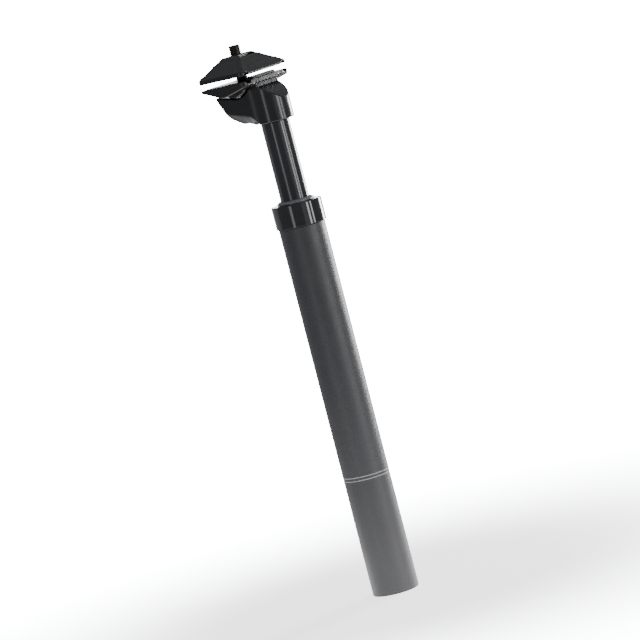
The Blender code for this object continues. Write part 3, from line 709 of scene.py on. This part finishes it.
@dataclass
class SeatHead:
    """The forged head: a barrel round the shaft and a horn behind it that carries the clamp."""

    datum: Datum
    barrel_radius: float = 13.25
    horn_half: float = 11.5
    horn_rear: float = -33.4
    horn_corner: float = 1.6
    blend: float = 2.2
    seat_radius: float = 12.0
    brow_edge: float = 0.7
    seat_edge: float = 0.5
    horn_edge: float = 1.8
    foot_edge: float = 0.7
    socket_radius: float = 8.9
    recess_radius: float = 6.8
    recess_top: float = 11.8
    socket_top: float = 16.0
    bolt_hole: float = 4.3
    seat_rear_z: float = 20.9
    seat_front_x: float = 0.62
    horn: Line = ((-33.4, 22.9), (-31.0, 22.6), (-28.8, 21.9))
    brow: Line = (
        (1.6, 24.4), (4.0, 22.75), (6.5, 20.85), (9.0, 18.75), (11.3, 16.4), (13.25, 14.0),
    )
    hull_side: Line = (
        (-33.4, 22.1), (-30.8, 17.0), (-28.25, 11.7), (-23.5, 10.1), (-18.5, 9.0), (-14.0, 7.9),
        (-10.2, 6.6), (-8.4, 5.3), (-6.6, 3.1), (-4.8, 0.9), (-3.0, 0.0), (14.0, 0.0),
    )
    hull_keel: Line = (
        (-33.4, 21.5), (-30.0, 10.8), (-28.0, 5.3), (-25.4, 3.4), (-22.6, 2.0), (-19.5, 0.4),
        (-16.4, -0.9), (-12.0, -1.4), (-11.2, -1.4), (-9.8, 0.0), (14.0, 0.0),
    )

    def inside(self, x: Array, y: Array) -> Array:
        """Distance in from the plan outline: a disc joined smoothly to a rounded rectangle."""
        disc = self.barrel_radius - np.hypot(x, y)
        half_length = -self.horn_rear / 2
        qx = np.abs(x + half_length) - half_length + self.horn_corner
        qy = np.abs(y) - self.horn_half + self.horn_corner
        plate = box_inside(qx, qy, self.horn_corner)
        mix = np.clip(0.5 + 0.5 * (disc - plate) / self.blend, 0.0, 1.0)
        return plate + (disc - plate) * mix + self.blend * mix * (1.0 - mix) * 0.5

    def half_width(self, x: Array) -> Array:
        """How far the outline reaches from the centre line at each x, found by halving."""
        low, high = np.zeros_like(x), np.full_like(x, 20.0)
        for _ in range(40):
            middle = (low + high) / 2
            is_in = self.inside(x, middle) > 0
            low, high = np.where(is_in, middle, low), np.where(is_in, high, middle)
        return (low + high) / 2

    def top_profile(self) -> Array:
        """(x, height) along the top: horn tip, horn, round seat, ridge, brow, front wall."""
        rise = self.datum.tilt_z - self.datum.head_z
        bolt_x = self.datum.bolt_x
        rear_x = bolt_x - math.sqrt(self.seat_radius**2 - (rise - self.seat_rear_z) ** 2)
        seat_x = np.linspace(rear_x, self.seat_front_x, 90)
        seat_z = rise - np.sqrt(np.maximum(self.seat_radius**2 - (seat_x - bolt_x) ** 2, 0))
        return np.concatenate([self.horn, np.stack([seat_x, seat_z], 1), self.brow])

    def build(self) -> None:
        """The head as two height fields over its plan, then its socket, recess and bolt hole."""
        front = self.barrel_radius * np.cos(np.radians(np.linspace(2.5, 90, 46)))
        profile = self.top_profile()
        seat_rear = profile[len(self.horn), 0]
        corner = self.horn_corner
        rear = self.horn_rear + corner * (1 - np.cos(np.linspace(0.02, math.pi / 2, 14)))
        middle = spread(self.horn_rear + corner, 0, 0.3)
        # Grid lines close round each end of the seat, and where the hull's own lines break.
        ends = [seat_rear, seat_rear + 0.02, self.seat_front_x - 0.02, self.seat_front_x + 0.02]
        along = merged(front, rear, middle, ends, [-3.0, -9.8, self.horn_rear])
        share = np.sin(np.linspace(-math.pi / 2, math.pi / 2, 97))
        width = self.half_width(along)
        x = np.broadcast_to(along[:, None], (len(along), len(share)))
        y = width[:, None] * share
        depth = np.maximum(self.inside(x, y), 0.0)
        roof = along_line(x, profile)
        edge = self.seat_edge + (self.brow_edge - self.seat_edge) * smoothstep((x - 0.5) / 1.0)
        edge = edge + (self.horn_edge - edge) * smoothstep((-2.0 - x) / 6.0)
        keel = along_line(x, self.hull_keel)
        curve = np.clip(np.abs(y) / np.maximum(width[:, None], 0.1), 0, 1) ** 2
        hull = keel + (along_line(x, self.hull_side) - keel) * curve
        foot = np.minimum(self.foot_edge, np.maximum((roof - hull) * 0.35, 0.05))
        top = roof - edge_drop(depth, np.minimum(edge, (roof - hull) * 0.5))
        bottom = hull + edge_drop(depth, foot)
        base = self.datum.head_z
        head = sheet_solid("forged_head", x, y, top + base, bottom + base)
        bolt = (self.datum.bolt_x, 0.0)
        socket = circle(self.socket_radius, (0.0, 0.0), 96)
        recess = circle(self.recess_radius, bolt, 96)
        cut(
            head,
            prism("socket", socket, base - 2, base + self.socket_top),
            prism("recess", recess, base - 4, base + self.recess_top),
            prism("hole", circle(self.bolt_hole, bolt, 96), base, base + 40),
        )
        place_piece(head, GLOSS_PAINT, "inner_post", "seat_head")


@dataclass
class InnerPost:
    """The sliding shaft and the bolt's washer. The head, which it carries, has its own class."""

    datum: Datum
    radius: float = 9.5
    spigot_radius: float = 8.7
    bore: float = 7.0
    groove_depth: float = 1.0
    washer_bore: float = 4.3

    def build_shaft(self) -> None:
        """A bored shaft, its end turned down for the head, with the retaining ring's groove."""
        low, high = node_box("inner_shaft")
        ring_low, ring_high = node_box("slider_retaining_ring")
        groove_low, groove_high = ring_low[2] - 0.3, ring_high[2] + 0.3
        waist = self.radius - self.groove_depth
        shoulder = self.datum.head_z - 0.3
        profile = rounded([
            (self.radius, low[2], 0.4),
            (self.radius, groove_low, 0.15),
            (waist, groove_low, 0.1),
            (waist, groove_high, 0.1),
            (self.radius, groove_high, 0.15),
            (self.radius, shoulder, 0.3),
            (self.spigot_radius, shoulder, 0.0),
            (self.spigot_radius, high[2], 0.4),
            (self.bore, high[2], 0.3),
            (self.bore, low[2], 0.3),
        ])
        shaft = revolved("sliding_shaft", profile, True, segments=192)
        place_piece(shaft, POLISHED_SHAFT, "inner_post", "inner_shaft")

    def build_washer(self) -> None:
        """A flat washer, domed slightly at its rims by the punch."""
        low, high = node_box("bolt_washer")
        outer = (high[0] - low[0]) / 2
        profile = rounded([
            (outer, low[2], 0.25),
            (outer, high[2], 0.25),
            (self.washer_bore, high[2], 0.15),
            (self.washer_bore, low[2], 0.15),
        ])
        washer = revolved("washer", profile, True, self.datum.bolt_x, 96)
        place_piece(washer, BLACK_OXIDE, "inner_post", "bolt_washer")

    def build(self) -> None:
        """The shaft and the washer."""
        self.build_shaft()
        self.build_washer()


# The saddle clamp.


@dataclass
class Clamp:
    """The two rail clamps and the saddle nut on top of them. Places are from the bolt's axis."""

    datum: Datum
    rear: float = -17.05
    front: float = 19.45
    half_width: float = 27.0
    plan_corner: float = 4.0
    rail_y: float = 22.0
    channel: float = 3.6
    rocker: float = 11.7
    rocker_half: float = 13.55
    rocker_chamfer: float = 1.3
    slot_half: float = 4.45
    roof: float = 15.7
    roof_edge: float = 0.6
    hip_blend: float = 3.5
    ribs: tuple[float, ...] = (10.0, 15.6)
    rib_half: float = 0.7
    rib_height: float = 0.6
    pocket_half_x: float = 8.9
    pocket_half_y: float = 9.0
    nut_seat: float = 9.0
    nut_hollow: float = 9.3
    nut_hole: float = 4.3
    least_wall: float = 0.35
    jaw: Line = (
        (-17.05, -2.75), (-4.0, -8.2), (-1.5, -9.0), (0.6, -9.25), (3.0, -9.1), (5.0, -8.6),
        (19.45, -5.1),
    )
    rocker_side: Line = (
        (-17.05, -2.9), (-10.6, -4.6), (9.3, -4.9), (9.32, -4.2), (18.18, -4.2), (18.2, -5.0),
        (19.45, -5.0),
    )
    slope_along: Line = ((-17.05, 4.3), (-5.0, 15.9), (6.0, 15.9), (19.45, 3.3))
    slope_across: Line = ((0.0, 15.9), (8.0, 15.9), (27.0, 4.3))

    def plan_width(self, along: Array) -> Array:
        """Half the clamp's width at each place along it, less where its corners are rounded."""
        near_end = np.minimum(along - self.rear, self.front - along)
        fall = self.plan_corner - np.clip(near_end, 0, self.plan_corner)
        return self.half_width - self.plan_corner + np.sqrt(self.plan_corner**2 - fall**2)

    def grid(self, x_lines: list[float], y_lines: list[float]) -> tuple[Array, ...]:
        """A plan grid with lines on every crease.

        Args:
            x_lines: where creases cross the clamp.
            y_lines: where creases run along it, on the +Y half.

        Returns:
            x, y and the distance in from the plan outline, each an (n, m) array.
        """
        ease = self.plan_corner * (1 - np.cos(np.linspace(0, math.pi / 2, 12)))
        ends = [self.rear + ease, self.front - ease]
        along = merged(*ends, spread(self.rear, self.front, 0.45), x_lines)
        inner = self.half_width - self.plan_corner - 0.02
        share = np.sin(np.linspace(0, math.pi / 2, 14))
        half = merged([0.0], spread(0, inner, 0.6), y_lines)
        half = half[half <= inner]
        outer = inner + (self.plan_width(along)[:, None] - inner) * share[1:]
        positive = np.concatenate([np.broadcast_to(half, (len(along), len(half))), outer], 1)
        y = np.concatenate([-positive[:, :0:-1], positive], 1)
        x = np.broadcast_to(along[:, None], y.shape)
        corner = self.plan_corner
        qx = np.maximum(self.rear + corner - x, x - self.front + corner)
        qy = np.abs(y) - self.half_width + corner
        return x, y, np.maximum(box_inside(qx, qy, corner), 0.0)

    def channel_depth(self, y: Array) -> Array:
        """How far each rail's round reaches from the rails' middle, and 0 beside it."""
        across = np.abs(np.abs(y) - self.rail_y)
        return np.sqrt(np.maximum(self.channel**2 - across**2, 0.0))

    def channel_lines(self) -> list[float]:
        """Grid lines round a rail channel, closer together where its wall is steep."""
        turn = np.linspace(0, math.pi, 25)
        edge = math.sqrt(self.channel**2 - RAIL_GAP**2)
        lines = self.rail_y - edge * np.cos(turn)
        return [value for value in lines.tolist() if value < self.half_width]

    def build_lower(self) -> None:
        """The lower clamp: a rocker under its middle, jaws to each side and two rail channels."""
        half = self.rocker_half
        x, y, inside = self.grid(
            [-10.57, -10.55, 9.3, 9.32, 18.18, 18.2, -4.0, 0.0, 5.0, -8.0],
            [half - 0.02, half, half - self.rocker_chamfer, *self.channel_lines()],
        )
        top = -np.maximum(self.channel_depth(y), RAIL_GAP) - edge_drop(inside, 0.4)
        jaw = along_line(x, self.jaw)
        notch = smoothstep((np.abs(y) - 13.5) / 0.6) * smoothstep((16.4 - np.abs(y)) / 1.4)
        jaw = jaw + 1.1 * notch * smoothstep((x - 13.5) / 2.0)
        chamfer = np.clip((np.abs(y) - half + self.rocker_chamfer) / self.rocker_chamfer, 0, 1)
        radius = self.rocker - 0.9 * chamfer
        round_part = -np.sqrt(np.maximum(radius**2 - x**2, 0.0))
        flat = along_line(x, self.rocker_side)
        middle = np.where((x > -9.2) & (x < 9.31), np.minimum(round_part, flat), flat)
        bottom = np.where(np.abs(y) < half - 0.01, middle, jaw)
        bottom = bottom + edge_drop(inside, 0.8)
        bottom = np.minimum(bottom, top - self.least_wall)
        base, bolt_x = self.datum.tilt_z, self.datum.bolt_x
        clamp = sheet_solid("rail_clamp_lower", x + bolt_x, y, top + base, bottom + base)
        slot = stadium(bolt_x, 6.42, self.slot_half)
        cut(clamp, prism("lower_slot", slot, base - 14, base))
        place_piece(clamp, SATIN_FORGING, "lower_jaw", "lower_clamp")

    def build_upper(self) -> None:
        """The upper clamp: a hipped roof with two ribs on each slope, and the nut's pocket."""
        reach_x, reach_y = self.pocket_half_x, self.pocket_half_y
        across = self.rib_half * np.linspace(-1, 1, 5)
        rib_lines = [side * (rib + across) for side in (1, -1) for rib in self.ribs]
        pocket_lines = [reach_x, reach_x + 0.02, -reach_x, -reach_x - 0.02, 7.48, -7.48]
        x, y, inside = self.grid(
            [*pocket_lines, 6.0, -5.0, *np.concatenate(rib_lines)],
            [reach_y, reach_y + 0.02, 8.0, *self.channel_lines()],
        )
        slope_x = along_line(x, self.slope_along)
        slope_y = along_line(np.abs(y), self.slope_across)
        soft = self.hip_blend
        mix = np.clip(0.5 + 0.5 * (slope_y - slope_x) / soft, 0, 1)
        roof = slope_y + (slope_x - slope_y) * mix - soft * mix * (1 - mix) * 0.5
        roof = np.minimum(roof, self.roof)
        on_slope = smoothstep((slope_y - slope_x - 0.3) / 0.8)
        for rib in self.ribs:
            ridge = np.clip(1 - np.abs(np.abs(x) - rib) / self.rib_half, 0, 1)
            roof = roof + self.rib_height * ridge * on_slope
        top = roof - edge_drop(inside, self.roof_edge)
        bottom = np.maximum(self.channel_depth(y), RAIL_GAP) + edge_drop(inside, 0.4)
        floor = np.sqrt(np.maximum(self.nut_seat**2 - x**2, 4.9**2))
        is_pocket = (np.abs(x) < reach_x + 0.01) & (np.abs(y) < reach_y + 0.01)
        top = np.where(is_pocket, floor, top)
        top = np.maximum(top, bottom + self.least_wall)
        base, bolt_x = self.datum.tilt_z, self.datum.bolt_x
        clamp = sheet_solid("rail_clamp_upper", x + bolt_x, y, top + base, bottom + base)
        slot = stadium(bolt_x, 5.95, self.slot_half)
        cut(clamp, prism("upper_slot", slot, base, base + 20))
        place_piece(clamp, SATIN_FORGING, "upper_jaw", "upper_clamp")

    def build_nut(self) -> None:
        """The saddle nut: flat on top, hollow underneath to the tilt's own radius."""
        low, high = node_box("clamp_nut")
        half_x, half_y = (high[0] - low[0]) / 2, high[1]
        ease = 1 - np.cos(np.linspace(0, math.pi / 2, 9))
        along = merged(-half_x + ease, half_x - ease, spread(-half_x, half_x, 0.4))
        across = merged(-half_y + ease, half_y - ease, spread(-half_y, half_y, 0.5))
        x, y = np.meshgrid(along, across, indexing="ij")
        inside = np.minimum(half_x - np.abs(x), half_y - np.abs(y))
        top = high[2] - edge_drop(inside, 0.7)
        bottom = self.datum.tilt_z + np.sqrt(self.nut_hollow**2 - x**2) + edge_drop(inside, 0.2)
        nut = sheet_solid("saddle_nut", x + self.datum.bolt_x, y, top, bottom)
        hole = circle(self.nut_hole, (self.datum.bolt_x, 0.0), 64)
        cut(nut, prism("nut_hole", hole, low[2] - 5, high[2] + 5))
        place_piece(nut, BLACK_OXIDE, "nut", "clamp_nut")

    def build(self) -> None:
        """Both clamps and the nut."""
        self.build_lower()
        self.build_upper()
        self.build_nut()


@dataclass
class ClampBolt:
    """An M8 socket-head screw, upside down, with a rolled thread over its upper length."""

    datum: Datum
    radius: float = 4.0
    pitch: float = 1.25
    thread_depth: float = 0.62
    head_height: float = 8.0
    hex_key: float = 6.0
    hex_depth: float = 5.2
    thread_length: float = 26.0

    def build_head(self, low: float, radius: float) -> None:
        """The knurled head with its hexagonal socket."""
        top = low + self.head_height
        corners = [(0.0, low, 0.0), (radius, low, 0.8), (radius, top, 0.3), (0.0, top, 0.0)]
        profile = rounded(corners)
        mid = profile[profile[:, 0] > radius - 0.01]
        extra = np.linspace(mid[0], mid[-1], 6)[1:-1]
        cutoff = int(np.argmax(profile[:, 1] > low + 1.0))
        profile = np.insert(profile, cutoff, extra, axis=0)
        knurl = (60, 0.14, low + 1.2, top - 0.5)
        head = revolved("bolt_head", profile, False, self.datum.bolt_x, 360, knurl)
        key = hexagon(self.datum.bolt_x, self.hex_key)
        cut(head, prism("key", key, low - 1, low + self.hex_depth))
        place_piece(head, BLACK_OXIDE, "bolt", "clamp_bolt")

    def build_shank(self, low: float, high: float) -> None:
        """The shank: the radius falls and rises with height less angle, which winds a thread."""
        start = low + self.head_height - 0.5
        thread_start = high - self.thread_length
        height = merged(
            [start, thread_start - 0.6],
            spread(thread_start, high - 0.6, self.pitch / 10),
            high - 0.6 + np.linspace(0, 0.6, 5),
        )
        angle = np.linspace(0.0, math.tau, 72, endpoint=False)[:, None]
        phase = (height / self.pitch - angle / math.tau) % 1.0
        groove = np.clip(1.35 - 3.2 * np.abs(phase - 0.5), 0, 1) * self.thread_depth
        runs = smoothstep((height - thread_start) / self.pitch)
        tip = np.clip((height - high + 0.7) / 0.7, 0, 1) * 0.55
        radius = self.radius - np.maximum(groove * runs, tip)
        points = round_axis(radius, angle, height, self.datum.bolt_x)
        rows, columns = radius.shape
        first = np.arange(rows) * columns
        ends = np.stack([first[::-1], first + columns - 1])
        walls = grid_faces(rows, columns, True, False)
        shank = mesh_object("bolt_shank", points, [walls, ends])
        face_outwards(shank)
        place_piece(shank, BLACK_OXIDE, "bolt", "clamp_bolt")

    def build(self) -> None:
        """The head and the shank."""
        low, high = node_box("clamp_bolt")
        self.build_head(low[2], (high[0] - low[0]) / 2)
        self.build_shank(low[2], high[2])


@dataclass
class Preload:
    """The screw at the foot of the tube that sets the spring, and the pieces kept as they are."""

    hex_key: float = 8.0
    hex_depth: float = 8.0
    pitch: float = 1.0
    thread_depth: float = 0.45

    def build_plug(self) -> None:
        """A threaded plug with a hexagonal socket in its lower face."""
        low, high = node_box("preload_plug")
        radius = high[0]
        crests = spread(low[2] + 1.2, high[2] - 1.2, self.pitch / 2)
        depth = np.where(np.arange(len(crests)) % 2 == 0, 0.0, self.thread_depth)
        side = np.column_stack([radius - depth, crests])
        profile = np.concatenate(
            [
                [[0.0, low[2]], [radius - 1.0, low[2]], [radius - 0.2, low[2] + 0.8]],
                side,
                [[radius - 0.2, high[2] - 0.8], [radius - 1.0, high[2]], [0.0, high[2]]],
            ]
        )
        plug = revolved("preload_screw_plug", profile, False, segments=128)
        key = hexagon(0.0, self.hex_key)
        cut(plug, prism("plug_key", key, low[2] - 1, low[2] + self.hex_depth))
        place_piece(plug, TURNED_ALUMINIUM, "preload_screw", "preload_plug")

    def dress_kept(self) -> None:
        """Gives the frame's own inner pieces their finishes."""
        kept = {
            ACETAL: ("upper_bushing", "slider_bushing"),
            URETHANE: ("top_out_bumper", "bumper_core"),
            GROUND_STEEL: ("guide_key_left", "guide_key_right", "slider_retaining_ring"),
            TURNED_ALUMINIUM: ("shaft_end_plug", "spring_seat"),
        }
        for finish, names in kept.items():
            for name in names:
                finish.dress(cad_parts[name])
                log.info("%s: kept, in %s", name, finish.name)

    def build(self) -> None:
        """The plug and the kept pieces' finishes."""
        self.build_plug()
        self.dress_kept()


# The studio.


@dataclass(frozen=True)
class Strip:
    """A softbox round the post: the bearings it spans, its glow, and where it stands.

    Bearings are in degrees to the right of the camera's own, seen from the post.
    """

    name: str
    low_bearing: float
    high_bearing: float
    radiance: float
    distance: float = 1.1
    bottom: float = 0.02
    top: float = 0.6


@dataclass
class Studio:
    """A pale floor, softboxes round the post, and the camera, in metres and degrees."""

    azimuth: float = 34.0
    elevation: float = 4.5
    distance: float = 2.5
    roll: float = 14.5
    view_width: float = 0.415
    aim_z: float = 0.185
    aim_right: float = -0.004
    sight_z: float = 0.263
    floor_radius: float = 0.9
    floor_clear: float = 0.54
    backdrop: float = 24.0
    ambient: float = 0.32
    far_glow: float = 6.0
    floor_glow: float = 2.2
    strips: tuple[Strip, ...] = (
        Strip("key strip", 123, 139, 32),
        Strip("near strip", 43, 51, 8),
        Strip("second near strip", 61, 67, 8),
        Strip("faint strip", 20, 38, 0.4),
        Strip("fill strip", -37, -27, 2.0),
        Strip("broad left strip", -150, -100, 0.3, 1.3),
        Strip("overhead", -50, 50, 0.7, 1.4, 1.6, 2.6),
    )

    def bearing(self, degrees: float) -> Vector:
        """A level direction from the post, at a bearing from the camera's."""
        turn = math.radians(self.azimuth - 90 + degrees)
        return Vector((math.cos(turn), math.sin(turn), 0))

    def add_camera(self) -> None:
        """A long lens, rolled so that the post leans to the left."""
        level = self.bearing(0)
        rise = math.radians(self.elevation)
        back = level * math.cos(rise) + Vector((0, 0, math.sin(rise)))
        place = Vector((0, 0, self.sight_z)) + back * self.distance
        right = self.bearing(90)
        aim = Vector((0, 0, self.aim_z)) + right * self.aim_right
        ahead = (aim - place).normalized()
        side = ahead.cross(Vector((0, 0, 1))).normalized()
        up = side.cross(ahead)
        cos, sin = math.cos(math.radians(self.roll)), math.sin(math.radians(self.roll))
        side, up = side * cos - up * sin, up * cos + side * sin
        data = bpy.data.cameras.new("camera")
        data.lens = data.sensor_width * self.distance / self.view_width
        data.clip_end = 100
        camera = in_scene("camera", data)
        turned = Matrix((side, up, -ahead)).transposed().to_4x4()
        camera.matrix_world = Matrix.Translation(place) @ turned
        bpy.context.scene.camera = camera

    def add_strip(self, strip: Strip) -> None:
        """A rectangle of light that spans the strip's bearings and glows evenly."""
        span = math.radians(strip.high_bearing - strip.low_bearing)
        width = 2 * strip.distance * math.tan(span / 2)
        height = strip.top - strip.bottom
        data = bpy.data.lights.new(strip.name, "AREA")
        data.shape = "RECTANGLE"
        data.size, data.size_y = width, height
        data.energy = strip.radiance * math.pi * width * height
        light = in_scene(strip.name, data)
        out = self.bearing((strip.low_bearing + strip.high_bearing) / 2)
        place = out * strip.distance + Vector((0, 0, (strip.bottom + strip.top) / 2))
        turned = out.to_track_quat("Z", "Y").to_matrix().to_4x4()
        light.matrix_world = Matrix.Translation(place) @ turned
        light.visible_camera = False

    def add_floor(self) -> None:
        """A pale disc under the post that fades out into the white surroundings."""
        sides, rings = 96, 40
        radii = np.linspace(0.0, self.floor_radius / MM, rings)
        angle = np.linspace(0.0, math.tau, sides, endpoint=False)[:, None]
        faces = grid_faces(sides, rings, True, False)[:, ::-1]
        floor = mesh_object("floor", round_axis(radii, angle, np.zeros(rings)), [faces])
        floor.data.shade_smooth()
        material = bpy.data.materials.new("pale floor")
        material.use_nodes = True
        tree = material.node_tree
        shader = tree.nodes["Principled BSDF"]
        place = add_node(tree, "TexCoord", {}).outputs["Object"]
        away = add_node(tree, "VectorMath", {0: place}, operation="LENGTH").outputs["Value"]
        levels = {0: away, 1: 0.10, 2: self.floor_clear, 3: 1.0, 4: 0.0}
        fade = add_node(tree, "MapRange", levels, interpolation_type="SMOOTHSTEP")
        surface = {
            "Base Color": linear("#f2f2f0"),
            "Roughness": 0.7,
            "Emission Color": (1, 1, 1, 1),
            "Emission Strength": self.floor_glow,
            "Alpha": fade.outputs[0],
        }
        fill(shader, surface)
        floor.data.materials.append(material)

    def add_world(self) -> None:
        """White behind the post to the camera, and dim, with a lighter far side, in its gloss."""
        world = bpy.data.worlds.new("studio")
        world.use_nodes = True
        bpy.context.scene.world = world
        tree = world.node_tree
        shader = tree.nodes["Background"]
        path = add_node(tree, "LightPath", {})
        facing = add_node(tree, "TexCoord", {}).outputs["Generated"]
        far = -self.bearing(0)
        # Three times the height before it is made a direction again: the glow hugs the horizon.
        tall = add_node(tree, "Mapping", {"Vector": facing, "Scale": (1, 1, 3)}).outputs[0]
        level = add_node(tree, "VectorMath", {0: tall}, operation="NORMALIZE").outputs["Vector"]
        toward = add_node(tree, "VectorMath", {0: level, 1: far}, operation="DOT_PRODUCT")
        levels = {0: toward.outputs["Value"], 1: 0.82, 2: 0.99, 3: self.ambient, 4: self.far_glow}
        glow = add_node(tree, "MapRange", levels, interpolation_type="SMOOTHSTEP")
        choice = {0: path.outputs["Is Camera Ray"], 2: glow.outputs[0], 3: self.backdrop}
        strength = add_node(tree, "Mix", choice, data_type="FLOAT")
        fill(shader, {"Strength": strength.outputs[0], "Color": linear("#f4f8ff")})

    def build(self) -> None:
        """The whole studio."""
        self.add_camera()
        for strip in self.strips:
            self.add_strip(strip)
        self.add_floor()
        self.add_world()
        log.info("studio ready")


def main() -> None:
    """Builds every sub-assembly and then the studio."""
    logging.basicConfig(level=logging.INFO, format="%(message)s")
    datum = Datum.of_frame()
    OuterPost().build()
    InnerPost(datum).build()
    SeatHead(datum).build()
    Clamp(datum).build()
    ClampBolt(datum).build()
    Preload().build()
    Studio().build()


if __name__ == "__main__":
    main()
